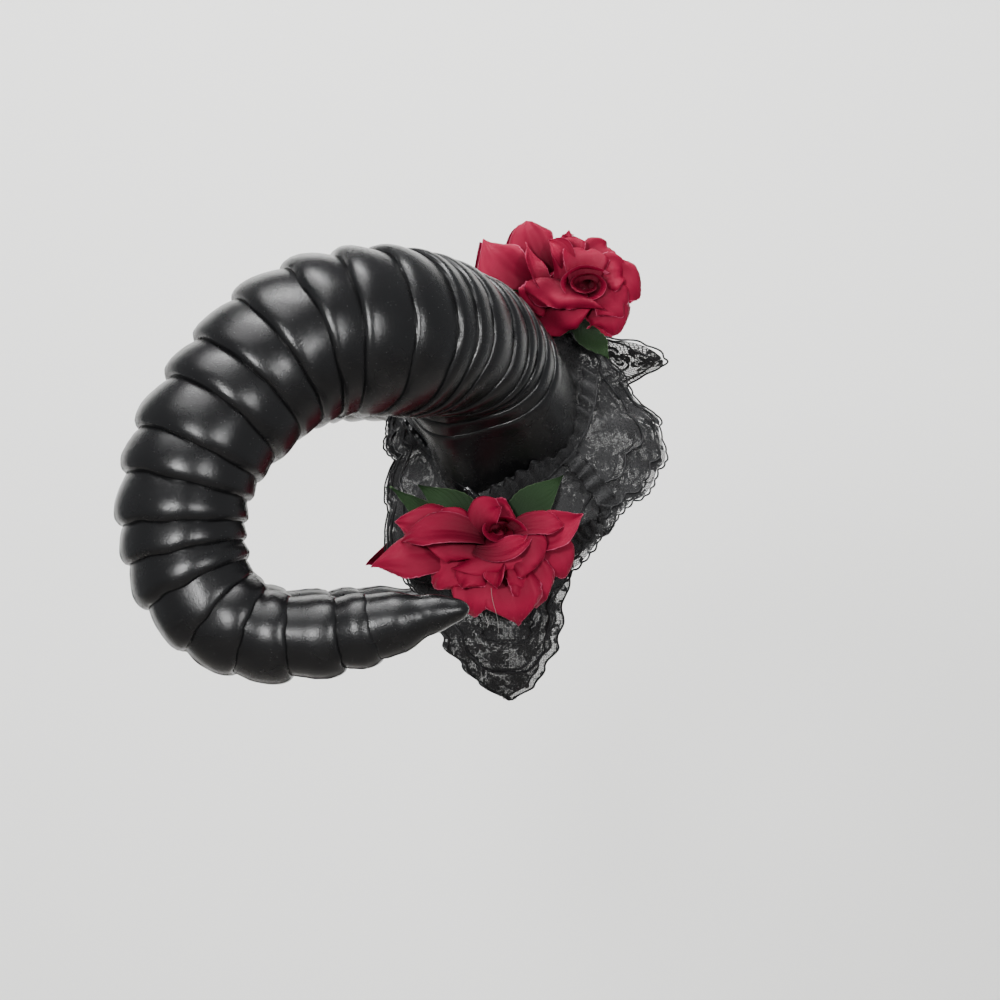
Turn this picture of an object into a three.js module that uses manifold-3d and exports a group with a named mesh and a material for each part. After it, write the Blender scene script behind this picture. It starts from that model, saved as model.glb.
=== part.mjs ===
// Headband with two curled ram-type horns, lace collars and four cloth roses.
// Millimetres. +Z up, the wearer faces -Y, the wearer's right side is -X.
// The origin is the inner face of the band over the crown.
import * as THREE from 'three';
import { mergeVertices } from 'three/addons/utils/BufferGeometryUtils.js';
import Module from 'manifold-3d';

const wasm = await Module();
wasm.setup();

// The hollow that the headband is worn around: an ellipsoid that touches the origin.
const WORN = { halfWidth: 76, halfDepth: 94.5, halfHeight: 110, middleBack: 13.5 };
WORN.middleUp = -WORN.halfHeight * Math.sqrt(1 - (WORN.middleBack / WORN.halfDepth) ** 2);

const BAND = { thick: 2.7, wide: 28, leanDeg: 8.8, endDeg: 117, endTaper: 0.35, steps: 28 };
const BAND_LOOP = 109.5;
const LACE = { thick: 1.2, dropLift: 3.2, collarLift: 5.5, rimLift: 0.9, fall: 12 };
const SCALLOP = { count: 22, deep: 1.6 };
const COLLAR_RINGS = [0.12, 0.4, 0.66, 0.86, 1];
const COLLAR_SIDES = 36;
const HORN = { sides: 14, seatGap: 0.5 };
const CORE = { top: 11, foot: 7.5, deep: 20, below: 13 };
const PETAL = { thick: 1.1, across: 2, along: 3 };
const LEAF = { thick: 0.9, rows: 5, arch: 1.2 };
const SEAT_GAP = 0.35;
const HORN_FOOT = { back: 37, up: -41, reach: 31 };
const BAND_REACH = BAND.wide / 2 + 6;

const COLOURS = {
  band: { color: 0x17171a, roughness: 0.95 },
  horn: { color: 0x1a1a1c, roughness: 0.33 },
  lace: { color: 0x101013, roughness: 0.9 },
  rose: { color: 0x9c1230, roughness: 0.8 },
  leaf: { color: 0x2f5a35, roughness: 0.85 },
  calyx: { color: 0x1e3d24, roughness: 0.6 },
};

// Axis of the horn, in millimetres: out from the middle of the head, back and up,
// with the radius over the rings and how far the inner side of the foot is drawn in.
const HORN_AXIS = [
  { out: 52, back: 31, up: -52, radius: 46, flat: 0.3 },
  { out: 72, back: 37, up: -41, radius: 46, flat: 0.3 },
  { out: 104, back: 51, up: -18, radius: 44, flat: 0.22 },
  { out: 126, back: 61, up: -11.5, radius: 42.8, flat: 0.1 },
  { out: 146, back: 74, up: -6.5, radius: 44, flat: 0 },
  { out: 162, back: 90, up: -4.5, radius: 45.5, flat: 0 },
  { out: 170, back: 104, up: -4.5, radius: 45.5, flat: 0 },
  { out: 177, back: 131, up: -8.5, radius: 44.7, flat: 0 },
  { out: 181, back: 150, up: -18.5, radius: 43.2, flat: 0 },
  { out: 185, back: 165, up: -31.5, radius: 40.5, flat: 0 },
  { out: 194, back: 191, up: -64.5, radius: 37.3, flat: 0 },
  { out: 197, back: 201, up: -96, radius: 35, flat: 0 },
  { out: 199, back: 198, up: -127, radius: 32.3, flat: 0 },
  { out: 202, back: 184.5, up: -150.5, radius: 28.8, flat: 0 },
  { out: 206, back: 160, up: -164, radius: 25.6, flat: 0 },
  { out: 210, back: 134, up: -165, radius: 22.6, flat: 0 },
  { out: 213, back: 111, up: -162.5, radius: 20.2, flat: 0 },
  { out: 216, back: 90, up: -157.5, radius: 16.5, flat: 0 },
  { out: 218, back: 72, up: -153, radius: 10.5, flat: 0 },
  { out: 221, back: 51.5, up: -149.5, radius: 5, flat: 0 },
];

const CURL_MIDDLE = new THREE.Vector3(-195, 108, -84);

// Grooves between the rings: millimetres along the axis from its first point, and depth.
const GROOVES = [
  { at: 36, depth: 1.3 }, { at: 46, depth: 1.4 }, { at: 57, depth: 1.5 },
  { at: 68, depth: 1.8 }, { at: 79, depth: 2 }, { at: 92, depth: 2.4 },
  { at: 110, depth: 2.4 }, { at: 120, depth: 2.2 }, { at: 131, depth: 3 },
  { at: 148, depth: 3.4 }, { at: 167, depth: 3.8 }, { at: 185, depth: 3.8 },
  { at: 206, depth: 4.2 }, { at: 228, depth: 4.2 }, { at: 250, depth: 4.2 },
  { at: 273, depth: 4 }, { at: 291, depth: 3.8 }, { at: 311, depth: 3.4 },
  { at: 326, depth: 3 }, { at: 344, depth: 3 }, { at: 363, depth: 3 },
  { at: 383, depth: 2.8 }, { at: 405, depth: 2.8 }, { at: 431, depth: 2.6 },
  { at: 449, depth: 1.4 },
];

// Lace outline around the horn foot: turn in degrees (0 front, 90 up, 180 back, 270 down),
// reach in degrees of arc over the worn hollow, and how far the rim stands off, in mm.
const COLLAR_RIM = [
  { turn: 0, reach: 57, stand: 0 }, { turn: 12, reach: 49, stand: 0 },
  { turn: 25, reach: 46, stand: 0 }, { turn: 40, reach: 43, stand: 0 },
  { turn: 54, reach: 46, stand: 0 }, { turn: 68, reach: 48, stand: 0 },
  { turn: 84, reach: 45, stand: 0 }, { turn: 104, reach: 42, stand: 0 },
  { turn: 126, reach: 40, stand: 0 }, { turn: 162, reach: 33, stand: 0 },
  { turn: 182, reach: 34, stand: 1 }, { turn: 195, reach: 33, stand: 0 },
  { turn: 209, reach: 42, stand: 0 }, { turn: 225, reach: 56, stand: 1 },
  { turn: 244, reach: 58, stand: 0 }, { turn: 272, reach: 57, stand: 0 },
  { turn: 290, reach: 58, stand: 1 }, { turn: 304, reach: 54, stand: 3 },
  { turn: 318, reach: 52, stand: 3 }, { turn: 332, reach: 56, stand: 1 },
  { turn: 348, reach: 59, stand: 0 },
];
// The fold of the left collar that stands up beside the crown.
const FAR_RUFFLE = { turn: 29, half: 16, reach: 17, stand: 15 };

// Lower lobe, from the middle of its top: half widths to the front and back at each height.
const DROP = { topUp: -78, bottomUp: -199, middleBack: 25, bandEndUp: -166, rows: 10, cols: 9 };
const DROP_WIDTHS = [
  { down: 0, front: 30, back: 30 }, { down: 18, front: 36, back: 48 },
  { down: 36, front: 26, back: 56 }, { down: 56, front: 31, back: 53 },
  { down: 66, front: 27, back: 44 }, { down: 80, front: 26, back: 40 },
  { down: 92, front: 24, back: 33 }, { down: 104, front: 18, back: 24 },
  { down: 114, front: 12, back: 14 }, { down: 121, front: 3, back: 4 },
];

// Roses: the heart's place and the petals, root to tip, in millimetres from the heart
// (back, up, out), with the width, the bow of the blade and the way its face looks.
const TOP_ROSE = {
  heart: { out: 44, back: -2, up: 24 },
  seat: { out: 27, back: 0, up: -3 },
  petals: [
    { tip: [39, 25, -4], wide: 38, bow: 7 },
    { tip: [19, 33, -6], wide: 28, bow: 6 },
    { tip: [-4, 20, -14], wide: 32, bow: 5 },
    { tip: [-27, 14, -6], wide: 34, bow: 6 },
    { tip: [-42, -8, 0], wide: 32, bow: 6 },
    { tip: [-26, -25, 4], wide: 40, bow: 7 },
    { tip: [4, -20, 14], wide: 42, bow: 7 },
    { tip: [27, -3, 14], wide: 34, bow: 6 },
  ],
  bud: { back: -12, up: 6, out: 8, radius: 13, deep: 17 },
};
// The side of the worn hollow under the side rose, which that rose and its leaves stand out from.
const TEMPLE = -onWorn(dirAt(34, -126), 0).x;
const SIDE_ROSE = {
  heart: { out: TEMPLE + 28.76, back: 33, up: -116 },
  seat: { out: TEMPLE + 0.76, back: 34, up: -126 },
  petals: [
    { tip: [66, -10, 2], wide: 34, bow: 6 },
    { tip: [52, 9, -6], wide: 34, bow: 6 },
    { tip: [12, 18, -6], wide: 40, bow: 5 },
    { tip: [-46, 16, -4], wide: 26, bow: 5 },
    { tip: [-36, -18, 2], wide: 36, bow: 6 },
    { tip: [-12, -43, 8], wide: 36, bow: 6 },
    { tip: [12, -38, 12], wide: 34, bow: 7 },
    { tip: [36, -20, 14], wide: 36, bow: 8 },
    { tip: [-24, -8, 18], wide: 38, bow: 8 },
  ],
  bud: { back: -1, up: 4, out: 12, radius: 13, deep: 18 },
};

// Leaves: root and tip in millimetres (out, back, up), width and bow.
const LEAVES = [
  { name: 'top_front', root: [36.5, -10.6, 3], tip: [58, -27, -18], wide: 15, bow: 2, side: [0, 1, 0.2] },
  { name: 'top_back', root: [35, 10.5, 5], tip: [50, 31, 20], wide: 16, bow: 2, side: [0.5, -0.5, 0.6] },
  {
    name: 'side_back', root: [TEMPLE + 12.76, 36.5, -111.3],
    tip: [TEMPLE + 10.76, 76, -85], wide: 18, bow: 2, side: [0, 0, 1],
  },
  {
    name: 'side_front', root: [TEMPLE + 12.76, 31.5, -111.3],
    tip: [TEMPLE + 14.76, -2, -80], wide: 18, bow: 2, side: [0, 0, 1],
  },
  {
    name: 'side_rear', root: [TEMPLE + 9.26, 44.9, -124],
    tip: [TEMPLE - 3.24, 90, -86], wide: 16, bow: 2, side: [0.3, 0.1, 1],
  },
];

const deg = Math.PI / 180;
const smooth = (t) => {
  const c = Math.min(1, Math.max(0, t));
  return c * c * (3 - 2 * c);
};

// A value read between the rows of a table, or around a full turn when `loop` is given.
function between(rows, key, name, at, loop = 0) {
  const list = loop ? [...rows, { ...rows[0], [key]: rows[0][key] + loop }] : rows;
  let x = loop ? ((at % loop) + loop) % loop : at;
  x = Math.min(Math.max(x, list[0][key]), list[list.length - 1][key]);
  const i = Math.max(1, list.findIndex((row) => row[key] >= x));
  const a = list[i - 1];
  const b = list[i];
  return a[name] + (b[name] - a[name]) * smooth((x - a[key]) / (b[key] - a[key]));
}

// A geometry from points and the three- or four-cornered faces between them.
function bodyFromQuads(points, quads) {
  const index = [];
  for (const [a, b, c, d] of quads) {
    index.push(a, b, c);
    if (d !== undefined) index.push(a, c, d);
  }
  const geometry = new THREE.BufferGeometry();
  const xyz = points.flatMap((p) => [p.x, p.y, p.z]);
  geometry.setAttribute('position', new THREE.Float32BufferAttribute(xyz, 3));
  geometry.setIndex(index);
  return geometry;
}

function volumeOf(geometry) {
  const p = geometry.attributes.position;
  const i = geometry.index;
  const [a, b, c] = [new THREE.Vector3(), new THREE.Vector3(), new THREE.Vector3()];
  let sum = 0;
  for (let k = 0; k < i.count; k += 3) {
    a.fromBufferAttribute(p, i.getX(k));
    b.fromBufferAttribute(p, i.getX(k + 1));
    c.fromBufferAttribute(p, i.getX(k + 2));
    sum += a.dot(b.cross(c)) / 6;
  }
  return sum;
}

function facingOut(geometry) {
  if (volumeOf(geometry) > 0) return geometry;
  const list = Array.from(geometry.index.array);
  for (let k = 0; k < list.length; k += 3) [list[k], list[k + 1]] = [list[k + 1], list[k]];
  geometry.setIndex(list);
  return geometry;
}

function toSolid(geometry) {
  const bare = geometry.clone();
  bare.deleteAttribute('normal');
  bare.deleteAttribute('uv');
  const merged = facingOut(mergeVertices(bare, 1e-4));
  return new wasm.Manifold(new wasm.Mesh({
    numProp: 3,
    vertProperties: new Float32Array(merged.attributes.position.array),
    triVerts: new Uint32Array(merged.index.array),
  }));
}

// The biggest connected body of a solid, with any sealed pocket between petals filled.
function largest(solid) {
  const bodies = solid.decompose();
  return bodies.reduce((best, body) => (body.volume() > best.volume() ? body : best));
}

function toGeometry(solid) {
  const mesh = solid.getMesh();
  const geometry = new THREE.BufferGeometry();
  const xyz = [];
  for (let k = 0; k < mesh.vertProperties.length; k += mesh.numProp) {
    xyz.push(mesh.vertProperties[k], mesh.vertProperties[k + 1], mesh.vertProperties[k + 2]);
  }
  geometry.setAttribute('position', new THREE.Float32BufferAttribute(xyz, 3));
  geometry.setIndex(Array.from(mesh.triVerts));
  return geometry;
}

// A sheet of points given twice, outer face and inner face, closed around its rim.
function sheetBody(rows, cols, outer, inner, loop) {
  const points = [];
  for (let r = 0; r < rows; r += 1) for (let c = 0; c < cols; c += 1) points.push(outer(r, c));
  for (let r = 0; r < rows; r += 1) for (let c = 0; c < cols; c += 1) points.push(inner(r, c));
  const top = (r, c) => r * cols + (c % cols);
  const low = (r, c) => rows * cols + top(r, c);
  const quads = [];
  const lastCol = loop ? cols : cols - 1;
  for (let r = 0; r + 1 < rows; r += 1) {
    for (let c = 0; c < lastCol; c += 1) {
      quads.push([top(r, c), top(r, c + 1), top(r + 1, c + 1), top(r + 1, c)]);
      quads.push([low(r, c), low(r + 1, c), low(r + 1, c + 1), low(r, c + 1)]);
    }
  }
  for (let c = 0; c < lastCol; c += 1) {
    quads.push([top(0, c + 1), top(0, c), low(0, c), low(0, c + 1)]);
    quads.push([top(rows - 1, c), top(rows - 1, c + 1), low(rows - 1, c + 1), low(rows - 1, c)]);
  }
  if (!loop) {
    for (let r = 0; r + 1 < rows; r += 1) {
      quads.push([top(r, 0), top(r + 1, 0), low(r + 1, 0), low(r, 0)]);
      quads.push([top(r + 1, cols - 1), top(r, cols - 1), low(r, cols - 1), low(r + 1, cols - 1)]);
    }
  }
  return facingOut(bodyFromQuads(points, quads));
}

// A point on the worn hollow, moved out along its normal. `dir` is a unit vector of the
// sphere that the hollow is stretched from.
function onWorn(dir, lift) {
  const normal = new THREE.Vector3(
    dir.x / WORN.halfWidth,
    dir.y / WORN.halfDepth,
    dir.z / WORN.halfHeight,
  ).normalize();
  return new THREE.Vector3(
    dir.x * WORN.halfWidth + normal.x * lift,
    dir.y * WORN.halfDepth + WORN.middleBack + normal.y * lift,
    dir.z * WORN.halfHeight + WORN.middleUp + normal.z * lift,
  );
}

// The same place found from its distances back and up, on the right side of the head.
function dirAt(back, up) {
  const y = (back - WORN.middleBack) / WORN.halfDepth;
  const z = (up - WORN.middleUp) / WORN.halfHeight;
  const x = -Math.sqrt(Math.max(0.0004, 1 - y * y - z * z));
  return new THREE.Vector3(x, y, z).normalize();
}

function wornCutter(lift) {
  const ball = new THREE.SphereGeometry(1, 48, 32);
  ball.scale(WORN.halfWidth + lift, WORN.halfDepth + lift, WORN.halfHeight + lift);
  ball.translate(0, WORN.middleBack, WORN.middleUp);
  return toSolid(ball);
}

// Band
function bandBody() {
  const lean = BAND.leanDeg * deg;
  const down = new THREE.Vector3(0, Math.sin(lean), -Math.cos(lean));
  const across = new THREE.Vector3(0, Math.cos(lean), Math.sin(lean));
  const shares = [-0.5, 0, 0.5];
  const place = (k, share, lift) => {
    const turn = (-1 + 2 * k / BAND.steps) * BAND.endDeg * deg;
    const ends = 1 - BAND.endTaper * smooth((Math.abs(turn) / deg - BAND.endDeg + 9) / 9);
    const centre = new THREE.Vector3(0, WORN.middleBack, WORN.middleUp);
    const ray = down.clone().multiplyScalar(-Math.cos(turn)).add(new THREE.Vector3(Math.sin(turn), 0, 0));
    const loop = new THREE.Vector3(ray.x * WORN.halfWidth, ray.y * BAND_LOOP, ray.z * BAND_LOOP);
    const middle = down.clone().multiplyScalar(BAND_LOOP).add(loop);
    middle.addScaledVector(across, share * BAND.wide * ends);
    middle.sub(centre);
    const { halfWidth, halfDepth, halfHeight } = WORN;
    middle.set(middle.x / halfWidth, middle.y / halfDepth, middle.z / halfHeight);
    return onWorn(middle.normalize(), lift);
  };
  return sheetBody(
    BAND.steps + 1, shares.length,
    (k, c) => place(k, shares[c], BAND.thick),
    (k, c) => place(k, shares[c], 0),
    false,
  );
}

// Horn, built on the right side of the head and mirrored for the left.
function hornAxis() {
  const at = (row) => new THREE.Vector3(-row.out, row.back, row.up);
  const curve = new THREE.CatmullRomCurve3(HORN_AXIS.map(at), false, 'centripetal');
  curve.arcLengthDivisions = 600;
  const lengths = curve.getLengths(600);
  const total = lengths[lengths.length - 1];
  const rows = HORN_AXIS.map((row, k) => ({
    run: lengths[Math.round(600 * k / (HORN_AXIS.length - 1))],
    radius: row.radius,
    flat: row.flat,
  }));
  return { curve, total, rows };
}

function hornStations(total) {
  const stations = [{ at: 0, sink: 0 }];
  GROOVES.forEach((groove, k) => {
    const next = GROOVES[k + 1];
    stations.push({ at: groove.at, sink: groove.depth });
    if (next) {
      stations.push({ at: groove.at + (next.at - groove.at) * 0.78, sink: 0 });
    }
  });
  stations.push({ at: GROOVES[GROOVES.length - 1].at + 5, sink: 0.3 });
  stations.push({ at: total - 14, sink: 0 });
  stations.push({ at: total - 3, sink: 0 });
  return stations;
}

function hornBody() {
  const { curve, total, rows } = hornAxis();
  const stations = hornStations(total);
  const points = [];
  const quads = [];
  for (const station of stations) {
    const u = Math.min(1, station.at / total);
    const centre = curve.getPointAt(u);
    const tangent = curve.getTangentAt(u);
    const outward = centre.clone().sub(CURL_MIDDLE);
    outward.addScaledVector(tangent, -outward.dot(tangent)).normalize();
    const sideways = tangent.clone().cross(outward).normalize();
    const radius = between(rows, 'run', 'radius', station.at) - station.sink;
    const flat = between(rows, 'run', 'flat', station.at);
    for (let k = 0; k < HORN.sides; k += 1) {
      const a = 2 * Math.PI * k / HORN.sides;
      const draw = 1 - flat * Math.max(0, -Math.cos(a)) ** 2;
      points.push(centre.clone()
        .addScaledVector(outward, radius * draw * Math.cos(a))
        .addScaledVector(sideways, radius * Math.sin(a)));
    }
  }
  const ring = (s, k) => s * HORN.sides + (k % HORN.sides);
  for (let s = 0; s + 1 < stations.length; s += 1) {
    for (let k = 0; k < HORN.sides; k += 1) {
      quads.push([ring(s, k), ring(s, k + 1), ring(s + 1, k + 1), ring(s + 1, k)]);
    }
  }
  points.push(curve.getPointAt(0));
  points.push(curve.getPointAt(1));
  for (let k = 0; k < HORN.sides; k += 1) {
    quads.push([points.length - 2, ring(0, k + 1), ring(0, k)]);
    quads.push([points.length - 1, ring(stations.length - 1, k), ring(stations.length - 1, k + 1)]);
  }
  const loft = toSolid(facingOut(bodyFromQuads(points, quads)));
  const foot = wornCutter(LACE.collarLift + LACE.thick + HORN.seatGap);
  return toGeometry(loft.subtract(foot));
}

// Lace collar: a sheet around the horn foot that lies over the band.
const HORN_DIR = dirAt(HORN_FOOT.back, HORN_FOOT.up);
const FRONT = new THREE.Vector3(0, -1, 0).addScaledVector(HORN_DIR, HORN_DIR.y).normalize();
const UPWARD = FRONT.clone().cross(HORN_DIR).normalize();
if (UPWARD.z < 0) UPWARD.negate();

function collarPlace(turn, share, far) {
  let reach = between(COLLAR_RIM, 'turn', 'reach', turn, 360);
  let stand = between(COLLAR_RIM, 'turn', 'stand', turn, 360);
  if (far) {
    const near = 1 - smooth(Math.abs(turn - FAR_RUFFLE.turn) / FAR_RUFFLE.half);
    reach += FAR_RUFFLE.reach * near;
    stand += FAR_RUFFLE.stand * near;
  }
  const wave = Math.abs(Math.sin(turn * deg * SCALLOP.count / 2));
  reach += SCALLOP.deep * (wave - 0.5);
  const rho = reach * share * deg;
  const flat = FRONT.clone().multiplyScalar(Math.cos(turn * deg));
  flat.addScaledVector(UPWARD, Math.sin(turn * deg));
  const dir = HORN_DIR.clone().multiplyScalar(Math.cos(rho)).addScaledVector(flat, Math.sin(rho)).normalize();
  return { dir, rho: rho / deg, stand: stand * share ** 9 };
}

function bandDistance(dir) {
  const lean = BAND.leanDeg * deg;
  const p = onWorn(dir, 0);
  return Math.abs(p.y * Math.cos(lean) + p.z * Math.sin(lean));
}

function collarBody(far) {
  const lift = (place) => {
    const nearHorn = 1 - smooth((place.rho - HORN_FOOT.reach) / LACE.fall);
    const nearBand = 1 - smooth((bandDistance(place.dir) - BAND_REACH) / LACE.fall);
    const nearDrop = smooth((DROP.topUp + 34 - onWorn(place.dir, 0).z) / LACE.fall);
    const up = Math.max(nearHorn, nearBand, nearDrop);
    return LACE.rimLift + (LACE.collarLift - LACE.rimLift) * up + place.stand;
  };
  const at = (r, c, extra) => {
    const place = collarPlace(360 * c / COLLAR_SIDES, COLLAR_RINGS[r], far);
    return onWorn(place.dir, lift(place) + extra);
  };
  return sheetBody(
    COLLAR_RINGS.length, COLLAR_SIDES,
    (r, c) => at(r, c, LACE.thick),
    (r, c) => at(r, c, 0),
    true,
  );
}

// Lower lobe of lace, under the collar and over the end of the band.
function dropBody() {
  const at = (r, c, extra) => {
    const down = (DROP.topUp - DROP.bottomUp) * r / (DROP.rows - 1);
    const side = -1 + 2 * c / (DROP.cols - 1);
    const width = side < 0
      ? between(DROP_WIDTHS, 'down', 'front', down)
      : between(DROP_WIDTHS, 'down', 'back', down);
    const dir = dirAt(DROP.middleBack + side * width, DROP.topUp - down);
    const bandEnd = smooth((DROP.bandEndUp - (DROP.topUp - down)) / LACE.fall);
    const away = smooth((bandDistance(dir) - BAND_REACH) / LACE.fall);
    const up = (1 - bandEnd) * (1 - away);
    return onWorn(dir, LACE.rimLift + (LACE.dropLift - LACE.rimLift) * up + extra);
  };
  return sheetBody(DROP.rows, DROP.cols, (r, c) => at(r, c, LACE.thick), (r, c) => at(r, c, 0), false);
}

// A petal: a bowed blade from the heart to its tip, closed as a thin body.
function petalBody(petal, out) {
  const tip = new THREE.Vector3(-petal.tip[2], petal.tip[0], petal.tip[1]);
  const length = tip.length();
  const along = tip.clone().normalize();
  const face = out.clone().addScaledVector(along, -out.dot(along)).normalize();
  const aside = along.clone().cross(face).normalize();
  const spot = (r, c, extra) => {
    const t = r / PETAL.along;
    const s = -1 + 2 * c / PETAL.across;
    const half = 0.5 * petal.wide * (0.3 + 0.7 * Math.sin(Math.PI * Math.min(1, 0.08 + 0.72 * t)))
      * (1 - 0.42 * smooth((t - 0.72) / 0.28));
    const run = length * (t - 0.12 * t * s * s);
    const cup = petal.bow * (Math.sin(Math.PI * t) * 0.7 + 0.5 * t * s * s - 0.9 * t * t * t);
    return along.clone().multiplyScalar(run + 3)
      .addScaledVector(aside, half * s)
      .addScaledVector(face, cup + extra);
  };
  return sheetBody(
    PETAL.along + 1, PETAL.across + 1,
    (r, c) => spot(r, c, PETAL.thick / 2),
    (r, c) => spot(r, c, -PETAL.thick / 2),
    false,
  );
}

function budBody(bud, out) {
  const profile = [
    [0, -bud.deep * 0.5], [bud.radius * 0.7, -bud.deep * 0.35], [bud.radius, bud.deep * 0.25],
    [bud.radius * 0.85, bud.deep * 0.5], [bud.radius * 0.6, bud.deep * 0.2], [0, bud.deep * 0.05],
  ].map(([r, y]) => new THREE.Vector2(r, y));
  const cup = new THREE.LatheGeometry(profile, 8);
  cup.applyQuaternion(new THREE.Quaternion().setFromUnitVectors(new THREE.Vector3(0, 1, 0), out));
  cup.translate(-bud.out, bud.back, bud.up);
  return toSolid(cup);
}

function roseOut(rose) {
  const heart = new THREE.Vector3(-rose.heart.out, rose.heart.back, rose.heart.up);
  const seat = new THREE.Vector3(-rose.seat.out, rose.seat.back, rose.seat.up);
  return heart.sub(seat).normalize();
}

function roseBody(rose) {
  const out = roseOut(rose);
  let whole = budBody(rose.bud, out);
  const core = new THREE.CylinderGeometry(CORE.top, CORE.foot, CORE.deep, 8);
  core.translate(0, CORE.deep / 2 - CORE.below, 0);
  core.applyQuaternion(new THREE.Quaternion().setFromUnitVectors(new THREE.Vector3(0, 1, 0), out));
  whole = whole.add(toSolid(core));
  for (const petal of rose.petals) whole = whole.add(toSolid(petalBody(petal, out)));
  const spare = new THREE.CylinderGeometry(CORE.top, CORE.top, 40, 8);
  spare.applyQuaternion(new THREE.Quaternion().setFromUnitVectors(new THREE.Vector3(0, 1, 0), out));
  const low = out.clone().multiplyScalar(-CORE.below - 20);
  spare.translate(low.x, low.y, low.z);
  whole = whole.subtract(toSolid(spare));
  return toGeometry(largest(whole.simplify(0.4)));
}

// The green cup that a rose is glued down by, cut to the lace under it.
function calyxBody(rose) {
  const out = roseOut(rose);
  const heart = new THREE.Vector3(-rose.heart.out, rose.heart.back, rose.heart.up);
  const cup = new THREE.CylinderGeometry(8, 10.5, 60, 10);
  cup.applyQuaternion(new THREE.Quaternion().setFromUnitVectors(new THREE.Vector3(0, 1, 0), out));
  const middle = heart.clone().addScaledVector(out, -CORE.below - SEAT_GAP - 30);
  cup.translate(middle.x, middle.y, middle.z);
  return toGeometry(toSolid(cup).subtract(wornCutter(LACE.collarLift + LACE.thick + HORN.seatGap)));
}

function leafBody(leaf) {
  const place = ([out, back, up]) => new THREE.Vector3(-out, back, up);
  const root = place(leaf.root);
  const tip = place(leaf.tip);
  const along = tip.clone().sub(root);
  const aside = new THREE.Vector3(-leaf.side[0], leaf.side[1], leaf.side[2]);
  aside.addScaledVector(along, -aside.dot(along) / along.lengthSq()).normalize();
  const face = along.clone().cross(aside).normalize();
  const spot = (r, c, extra) => {
    const t = r / (LEAF.rows - 1);
    const s = -1 + c;
    const half = 0.5 * leaf.wide * (0.12 + 0.88 * Math.sin(Math.PI * Math.min(1, 0.1 + 0.86 * t)) ** 0.8);
    return root.clone().addScaledVector(along, t)
      .addScaledVector(aside, half * s)
      .addScaledVector(face, leaf.bow * Math.sin(Math.PI * t) - LEAF.arch * s * s + extra);
  };
  const half = LEAF.thick / 2;
  return sheetBody(LEAF.rows, 3, (r, c) => spot(r, c, half), (r, c) => spot(r, c, -half), false);
}

function mirrored(geometry) {
  const copy = geometry.clone();
  copy.scale(-1, 1, 1);
  return facingOut(copy);
}

const headband = new THREE.Group();

function add(parent, name, geometry, look) {
  const mesh = new THREE.Mesh(geometry, new THREE.MeshStandardMaterial({ ...COLOURS[look], metalness: 0 }));
  mesh.name = name;
  parent.add(mesh);
  return mesh;
}

add(headband, 'headband', bandBody(), 'band');

function placedRose(rose, geometry) {
  const copy = geometry.clone();
  copy.translate(-rose.heart.out, rose.heart.back, rose.heart.up);
  return copy;
}

const built = {
  horn: hornBody(),
  lace_collar: collarBody(false),
  lace_drop: dropBody(),
  rose_top: placedRose(TOP_ROSE, roseBody(TOP_ROSE)),
  rose_side: placedRose(SIDE_ROSE, roseBody(SIDE_ROSE)),
  calyx_top: calyxBody(TOP_ROSE),
  calyx_side: calyxBody(SIDE_ROSE),
};
for (const leaf of LEAVES) built[`leaf_${leaf.name}`] = leafBody(leaf);

const right = new THREE.Group();
const left = new THREE.Group();
headband.add(right, left);
for (const [name, geometry] of Object.entries(built)) {
  const look = name.split('_')[0];
  add(right, `${name}_right`, geometry, look);
  add(left, `${name}_left`, mirrored(name === 'lace_collar' ? collarBody(true) : geometry), look);
}

export default headband;
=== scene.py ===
import math

import bpy
from mathutils import Matrix, Vector, noise


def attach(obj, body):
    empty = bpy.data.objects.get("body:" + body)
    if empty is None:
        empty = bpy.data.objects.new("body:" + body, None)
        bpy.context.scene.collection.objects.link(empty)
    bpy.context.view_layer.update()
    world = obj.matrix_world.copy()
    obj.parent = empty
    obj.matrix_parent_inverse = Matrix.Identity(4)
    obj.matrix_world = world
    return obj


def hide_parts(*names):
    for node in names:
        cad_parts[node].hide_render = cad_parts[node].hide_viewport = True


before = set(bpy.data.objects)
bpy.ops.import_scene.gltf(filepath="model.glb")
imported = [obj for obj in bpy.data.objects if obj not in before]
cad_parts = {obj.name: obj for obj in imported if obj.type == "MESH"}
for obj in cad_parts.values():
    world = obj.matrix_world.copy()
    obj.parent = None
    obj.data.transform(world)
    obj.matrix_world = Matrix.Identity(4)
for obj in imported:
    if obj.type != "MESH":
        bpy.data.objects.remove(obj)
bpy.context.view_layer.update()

# The camera stands level at the wearer's right, a long lens away, turned a little to the back.
# At the aim one pixel of the picture is 0.54 mm.
AIM = Vector((0.0, 0.0297, -0.0934))
CAMERA_AWAY = 6.0
CAMERA_TURN = math.radians(1.5)
bpy.ops.object.camera_add(
    location=AIM + CAMERA_AWAY * Vector((-math.cos(CAMERA_TURN), math.sin(CAMERA_TURN), 0)),
    rotation=(math.pi / 2, 0, -math.pi / 2 - CAMERA_TURN),
)
camera = bpy.context.object
camera.data.lens = 400
camera.data.sensor_width = 36
camera.data.clip_end = 50
bpy.context.scene.camera = camera

# The room: a pale wall behind the piece and a pale floor far below it.
bpy.ops.object.select_all(action="DESELECT")
bpy.ops.mesh.primitive_plane_add(size=1)
wall = bpy.context.object
wall.name = "backdrop"
for corner in wall.data.vertices:
    corner.co = (1.3, 3.2 * corner.co.x, 2.6 * corner.co.y)
bpy.ops.object.select_all(action="DESELECT")
bpy.ops.mesh.primitive_plane_add(size=1)
ground = bpy.context.object
ground.name = "studio_floor"
for corner in ground.data.vertices:
    corner.co = (4.0 * corner.co.x, 4.0 * corner.co.y, -1.1)

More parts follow.
